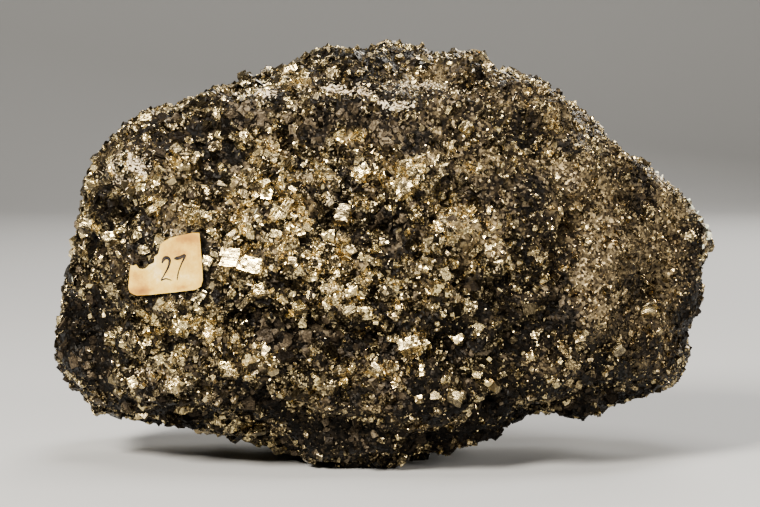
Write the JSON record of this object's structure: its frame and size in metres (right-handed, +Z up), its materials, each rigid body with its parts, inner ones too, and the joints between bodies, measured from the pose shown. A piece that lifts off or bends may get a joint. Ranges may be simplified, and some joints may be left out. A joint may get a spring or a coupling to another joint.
{
  "type": "pyrite specimen",
  "caption": "Hand-sized lump of granular pyrite with fused blocky crystals in a dark matrix, worn flat where it rests, with an old torn paper number label glued to its face.",
  "frame": {"origin": "on the small flat worn face that the stone stands on, under the middle of the stone", "axes": "+X along the length, to the right as the labelled face is seen; the labelled face looks towards -Y; +Z up"},
  "size_m": [0.1324, 0.0748, 0.0835],
  "materials": {
    "pyrite": "glinting metallic grains, pale brass yellow where fresh, browner where tarnished",
    "dark_matrix": "dull, near black, finely granular",
    "pale_crust": "matte powdery grey-cream to greenish white",
    "label_paper": "matte aged paper with faint tan stains",
    "label_ink": "matte dark iron ink"
  },
  "bodies": {
    "root": {"pyrite_stone": "pyrite", "paper_label": "label_paper"}
  },
  "joints": []
}
